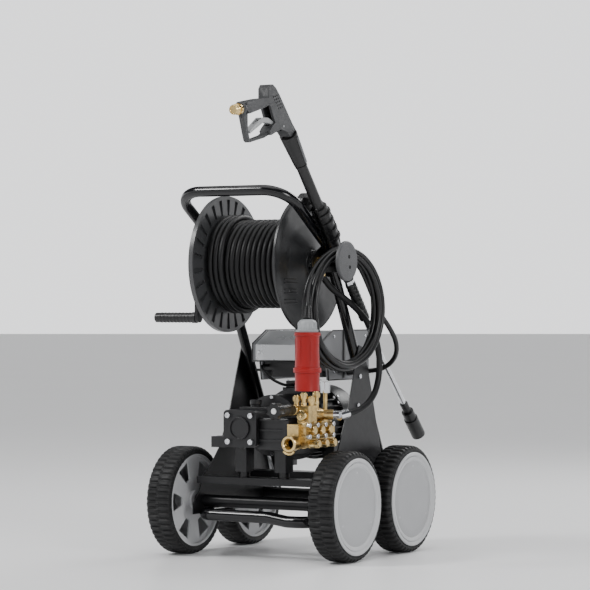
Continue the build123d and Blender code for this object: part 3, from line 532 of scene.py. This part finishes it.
nose.ring(start + nose_way * 16.2, nose_way, [(0, 7.4), (0, 10.9), (1.4, 9.9), (1.4, 8.0)], 32)
for k in range(3):
    nose.ring(start + nose_way * (3 + 4 * k), nose_way, [(0, 11), (0.8, 11.7), (1.6, 11)], 32)
nose.made("inlet_threads", "brass_turned", "lance", "brass")

# the plug: moulded body with its rims and ribs, its pins, and the gland nut
PLUG_TOP = 540.0
plug = Shape()
plug.ring((PLUG_X, PLUG_Y, PLUG_TOP), (0, 0, -1),
          [(0, 3), (0, 27), (1, 29.5), (6, 30.4), (8, 29.6), (9.5, 27.2), (40, 27.0), (76, 28.2), (80, 28.4),
           (81.5, 31.6), (84, 32), (90, 32), (92, 31), (93, 28.4), (131, 28.0), (133.2, 28.5), (134, 28.0),
           (134, 25.6), (100, 25.5), (97, 3)], 72)
for k in range(3):
    angle = math.radians(215 + 50 * k)
    spot = (PLUG_X + 27.0 * math.cos(angle), PLUG_Y + 27.6 * math.sin(angle))
    plug.sweep([(spot[0], spot[1], z) for z in (526, 522, 500, 480, 470)], 1.1, 8)
plug_body = plug.made("plug_moulding", "red", "trolley", "plug_red", crease=38)
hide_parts("power_plug")
pins = Shape()
for k in range(5):
    angle = 2 * math.pi * k / 5 + 0.3
    spot = (PLUG_X + 15 * math.cos(angle), PLUG_Y + 15 * math.sin(angle), 446)
    pins.turned(spot, (0, 0, -1), [(0, 3.2 if k else 4.0), (28, 3.2 if k else 4.0), (30, 2.2)], 18)
plug_pins = pins.made("plug_pins", "brass_turned", "trolley", "brass")
nut = Shape()
nut.turned((PLUG_X, PLUG_Y, PLUG_TOP), (0, 0, 1),
           [(0, 24.5), (2, 25.4), (5, 25.4), (6.5, 22.5), (22, 22), (24, 20),
                                             (28, 16), (30, 8), (30, 1)], 72,
           shape=lambda step, along, r: r - (1.0 if 6 < along < 23 and step % 4 in (0, 1) else 0))
gland_nut = nut.made("gland_nut", "gland", "trolley", "gland_grey", crease=38)
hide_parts("plug_gland")


def relief(name, spot, way, radius, long):
    """A ribbed strain relief that narrows from the fitting to the cable."""
    shape = Shape()
    outline = [(0, radius)]
    for k in range(6):
        near = long * (k + 0.2) / 6
        size = radius + (6.9 - radius) * (k + 0.5) / 6
        outline += [(near, size + 0.7), (near + long / 12, size + 0.7), (near + long / 10, size - 0.2)]
    outline += [(long, 6.6), (long, 5.6)]
    shape.turned(spot, way, outline, 32)
    return shape.made(name, "plastic", "trolley", "plastic_black")


plug_relief = relief("plug_strain_relief", (PLUG_X, PLUG_Y, 569), (-3, 8, 27), 11.5, 32)
relief("box_strain_relief", (94, 104, 440), (1, 0, 0), 10.5, 34)

# the control box: dark edges, a rib, rear slots and screws
trim = Shape()
END_OUTLINE = [(-37, 464), (-37, 508), (27, 540), (207, 540), (207, 420), (5, 420), (-1, 464)]
for x in (-94.2, 94.2):
    trim.sweep([(x, y, z) for y, z in END_OUTLINE], 2.1, 8, shut=True)
trim.sweep([(-92, -36.4, 466), (92, -36.4, 466)], 1.8, 8)
trim.block(95, 97.2, 76, 84, 424, 538)
for x in (-60, -20, 20, 60):
    trim.block(x - 12, x + 12, 205, 206.5, 486, 489)
    trim.block(x - 12, x + 12, 205, 206.5, 496, 499)
trim.made("box_edges", "plastic", "trolley", "plastic_black", bevel=0.5)
screws = Shape()
for x in (-78, 84):
    socket_screw(screws, (x, -35, 487), (0, -1, 0), 4.2, 2.2)
for y, z in ((30, 525), (190, 525), (190, 440), (30, 440)):
    socket_screw(screws, (95, y, z), (1, 0, 0), 3.6, 2)
    socket_screw(screws, (-95, y, z), (-1, 0, 0), 3.6, 2)
for x in (-70, 70):
    for y in (60, 180):
        socket_screw(screws, (x, y, 538), (0, 0, 1), 3.8, 2)
screws.made("box_screws", "steel", "trolley", "zinc_steel")

# the pump: bolt heads, caps, unions, the inlet ring and strainer, the regulator and the crankcase
bolts = Shape()
for sx in (-1, 1):
    for sz in (-1, 1):
        socket_screw(bolts, (-8 + sx * 31, -246, 311 + sz * 31), (0, -1, 0), 6.6, 2.4)
for z in (321, 295):
    for k in range(4):
        socket_screw(bolts, (167, -217 + 38 * k, z), (1, 0, 0), 5.8, 2.5)
bolts.made("pump_bolt_heads", "steel", "trolley", "zinc_steel")
nuts = Shape()
for y in (-198, -160, -122):
    for z, size, low, high, face in ((309, 11.0, 165, 172, 172), (278, 10.0, 171, 183, 183)):
        nuts.plate(hexagon(size, 0.2), lambda a, b, c, y=y, z=z: (c, y + a, z + b), low, high)
        nuts.turned((face, y, z), (1, 0, 0), [(0, size - 2), (1.2, size - 2.4), (1.2, 0.3)], 24)
for x, y, top in ((118, -192, 392), (134, -186, 398), (148, -176, 390), (146, -148, 400)):
    nuts.plate(hexagon(9.4, 0.3), lambda a, b, c, x=x, y=y: (x + a, y + b, c), top - 14, top - 6)
    nuts.plate(hexagon(7.6, 0.9), lambda a, b, c, x=x, y=y: (x + a, y + b, c), top - 32, top - 25)
    nuts.turned((x, y, top - 4), (0, 0, 1), [(0, 6), (2.4, 5.6), (3, 4)], 24)
nuts.plate(hexagon(13.5, 0.1), lambda a, b, c: (143 + a, c, 345 + b), -136, -128)
nuts.turned((143, -206, 344), (0, -1, 0), [(0, 12.5), (3, 13), (9, 13), (10.5, 11.5), (10.5, 4), (8, 3)], 32)
nuts.turned((120, -207, 356), (0, -1, 0), [(0, 12.6), (7, 12.6), (8, 11.5)], 32)
for k in range(3):
    nuts.turned((132, -214 + 30 * k, 268.5), (0, 0, -1), [(0, 6.5), (3, 6.5), (4, 5.5)], 24)
nuts.made("pump_fittings", "brass_turned", "trolley", "brass", bevel=0.5)
ring = Shape()
ring.ring((INLET_X, -250.2, INLET_Z), (0, -1, 0),
          [(0, 12.3), (0, 18.4), (1.6, 19), (4.4, 19), (5.5, 18), (5.5, 13.4), (4, 12.3)], 48)
for k in range(4):
    ring.ring((INLET_X, -249 + 4 * k, INLET_Z), (0, 1, 0), [(0, 12.0), (1, 11.3), (2, 12.0)], 40)
ring.sweep([(118, -252, 262), (124, -252, 257), (132, -252, 255), (140, -252, 257), (146, -252, 262)], 3.2, 10)
ring.made("inlet_ring", "brass_turned", "trolley", "brass")
sieve = Shape()
sieve.turned((INLET_X, -222, INLET_Z), (0, -1, 0), [(0, 11.6), (9, 8), (12, 3), (12.2, 0.3)], 32)
sieve.made("inlet_strainer", "dark", "trolley", "brass")
knob_face = Shape()
knob_face.turned((KNOB_X, -290, KNOB_Z), (0, -1, 0), [(0, 7), (1.2, 6.6), (1.8, 5), (1.4, 0.3)], 28)
knob_face.made("regulator_screw", "white", "regulator", "zinc_steel")
knob_rings = Shape()
for y in (-276, -262, -240):
    knob_rings.ring((KNOB_X, y, KNOB_Z), (0, -1, 0), [(0, 14.6), (1, 15.6), (2.6, 15.6), (3.6, 14.6)], 40)
knob_rings.made("regulator_rings", "plastic", "regulator", "plastic_black")
case = Shape()
case.ring((SHAFT_X, -240.1, SHAFT_Z), (0, -1, 0),
          [(0, 27), (3.5, 27), (5.4, 26), (5.4, 24), (3.2, 23), (0, 23)], 56)
for k in range(4):
    case.block(-57, 40, -160 + 16 * k, -156 + 16 * k, 353.6, 358)
case.turned((-30, -130, 354), (0, 0, 1), [(0, 12), (9, 12), (10, 14), (20, 14), (22, 12), (22, 0.4)], 36,
            shape=lambda step, along, r: r - (0.9 if 10 < along < 21 and step % 3 == 0 else 0))
case.turned((SHAFT_X, -222, 270), (0, -1, 0), [(0, 8), (9, 8), (10, 6.5)], 24)
case.made("crankcase_details", "motor", "trolley", "motor_black", bevel=0.5)

# the motor: bell bolts, terminal box and cowl screws, and the cowl bands
motor = Shape()
for k in range(6):
    angle = math.radians(30 + 60 * k)
    spot = (SHAFT_X + 68 * math.cos(angle), -88, SHAFT_Z + 68 * math.sin(angle))
    socket_screw(motor, spot, (0, -1, 0), 4.6, 4)
for x, y in ((-38, 40), (22, 40), (-38, 94), (22, 94)):
    socket_screw(motor, (x, y, 416), (0, 0, 1), 3.2, 2)
for k in range(4):
    angle = math.radians(45 + 90 * k)
    socket_screw(motor, (SHAFT_X + 91 * math.cos(angle), 121, SHAFT_Z + 91 * math.sin(angle)),
                 (math.cos(angle), 0, math.sin(angle)), 3.4, 2)
motor.made("motor_screws", "steel", "trolley", "zinc_steel")
bands = Shape()
for y in (17, 128):
    bands.ring((SHAFT_X, y, SHAFT_Z), (0, 1, 0), [(0, 82), (0, 87.2), (3, 88), (6, 87.2), (6, 82)], 72)
bands.made("motor_bands", "motor", "trolley", "motor_black")

# the reel: raised ribs, rims and hub covers, the hook disc screws and the crank grip rings
reel = Shape()
for k, z in enumerate((-38, -46, -62, -70, -86, -94)):
    reel.sweep([(116.4 + 0.05 * k, REEL_Y + y, REEL_Z + z) for y in (-118, -100, -80, -62)], 1.3, 8)
reel.ring((109, REEL_Y, REEL_Z), (1, 0, 0), [(4, 160), (5.6, 161), (6.4, 163), (5, 163.8), (3, 163.8)], 128)
reel.ring((109, REEL_Y, REEL_Z), (1, 0, 0), [(15, 14), (16.4, 15), (17, 22), (16.4, 31), (14.6, 33)], 64)
reel.made("reel_right_details", "reel_dark", "reel", "reel_grey")
hub_cover = Shape()
hub_cover.ring((-119, REEL_Y, REEL_Z), (-1, 0, 0), [(0, 13), (3, 14), (6, 26), (5, 60), (1, 62), (0, 62)], 72)
for tooth in range(26):
    angle = 2 * math.pi * tooth / 26
    out = (math.cos(angle), math.sin(angle))
    hub_cover.sweep([(-119.4, REEL_Y + out[0] * r, REEL_Z + out[1] * r) for r in (70, 100, 130, 150)], 1.8, 6)
hub_cover.ring((-119, REEL_Y, REEL_Z), (-1, 0, 0),
               [(0, 158), (2, 159), (3, 162), (1.5, 163.8), (0, 163.8)], 128)
hub_cover.made("reel_left_details", "reel_dark", "reel", "reel_grey")
disc = Shape()
for y, z in ((-166, 714), (-162, 690)):
    disc.turned((243.6, y, z), (1, 0, 0), [(0, 4.4), (0.7, 4.2), (0.7, 1.6), (0.3, 1.4), (0.3, 0.2)], 24)
disc.made("hook_disc_screws", "dark", "trolley", "reel_grey")
ends = Shape()
ends.turned((-314, REEL_Y, 571), (-1, 0, 0), [(-0.5, 12), (1, 11), (1.8, 8), (1.8, 0.3)], 36)
for k in range(10):
    ends.ring((-206 - 10 * k, REEL_Y, 571), (-1, 0, 0), [(0, 11.9), (1, 12.6), (4, 12.6), (5, 11.9)], 32)
ends.made("crank_grip_rings", "plastic", "crank_handle", "plastic_black")

# the frame: plate bolts and weld beads
frame_bolts = Shape()
for side in (-1, 1):
    for y, z in ((-150, 150), (-110, 178), (90, 178), (135, 150), (30, 430), (20, 360)):
        frame_bolts.plate(hexagon(6.4, 0.4),
                          lambda a, b, c, y=y, z=z, side=side: (side * c, y + a, z + b), 165.5, 169.5)
frame_bolts.made("plate_bolts", "steel", "trolley", "zinc_steel", bevel=0.5)
welds = Shape()
for side in (-1, 1):
    for y in (-143, 143):
        welds.ring((side * 165.4, y, AXLE_Z), (side, 0, 0), [(0, 15), (2.2, 15.4), (2.6, 17), (0, 18.4)], 36,
                   shape=lambda step, along, r: r + (0.5 if step % 3 == 0 and r > 16 else 0))
welds.made("axle_welds", "sheet", "trolley", "sheet_black")

# ---- floor and light ----
floor = bpy.data.objects.new("floor", bpy.data.meshes.new("floor"))
floor.data.from_pydata([(-60, -60, 0), (60, -60, 0), (60, 60, 0), (-60, 60, 0)], [], [(0, 1, 2, 3)])
floor.data.materials.append(MATS["floor"])
bpy.context.scene.collection.objects.link(floor)

world = bpy.data.worlds.new("studio")
bpy.context.scene.world = world
world.use_nodes = True
sky = world.node_tree
height = sky.nodes.new("ShaderNodeSeparateXYZ")
band = sky.nodes.new("ShaderNodeValToRGB")
band.color_ramp.elements[0].position, band.color_ramp.elements[1].position = 0.14, 0.24
band.color_ramp.elements[0].color = (0.98, 0.985, 1.0, 1)
band.color_ramp.elements[1].color = (0.05, 0.052, 0.055, 1)
sky.links.new(sky.nodes.new("ShaderNodeTexCoord").outputs["Generated"], height.inputs[0])
sky.links.new(height.outputs["Z"], band.inputs["Fac"])
sky.links.new(band.outputs["Color"], sky.nodes["Background"].inputs["Color"])
sky.nodes["Background"].inputs["Strength"].default_value = 1.7


def lamp(name, place, target, size, power):
    data = bpy.data.lights.new(name, "AREA")
    data.shape, data.size, data.energy = "DISK", size, power
    obj = bpy.data.objects.new(name, data)
    obj.location = place
    obj.rotation_euler = (Vector(target) - Vector(place)).to_track_quat("-Z", "Y").to_euler()
    bpy.context.scene.collection.objects.link(obj)


lamp("key", (-2.2, -2.4, 3.2), (0, 0, 0.4), 1.1, 110)
lamp("fill", (3.4, -1.4, 2.0), (0, 0, 0.5), 1.4, 60)
lamp("rim", (0.6, 3.0, 2.6), (0, 0, 0.6), 1.6, 60)
sun_data = bpy.data.lights.new("overhead", "SUN")
sun_data.energy, sun_data.angle = 1.9, 1.2
bpy.context.scene.collection.objects.link(bpy.data.objects.new("overhead", sun_data))

# ---- the hose coupling, and the lengths of the hose and the cable ----
def far_coupling():
    """The brass coupling on the hose's free end, lying on the last turn."""
    end, before = Vector(hose_route[-1]), Vector(hose_route[-2])
    way = (end - before).normalized()
    shape = Shape()
    shape.turned(end - way * 3, way, [(0, 2), (0, 8.6), (6, 9.2), (22, 9.2), (23, 8.2), (24, 8.2)], 32)
    shape.plate(hexagon(9.9), lambda a, b, c: tuple(end + way * c + way.orthogonal().normalized() * a
                                                   + way.cross(way.orthogonal().normalized()) * b), 21, 31)
    return shape.made("hose_coupling", "brass_turned", "reel", "brass", bevel=0.6)


coupling = far_coupling()
round(curve_length(hose), 2)
round(curve_length(cable), 2)
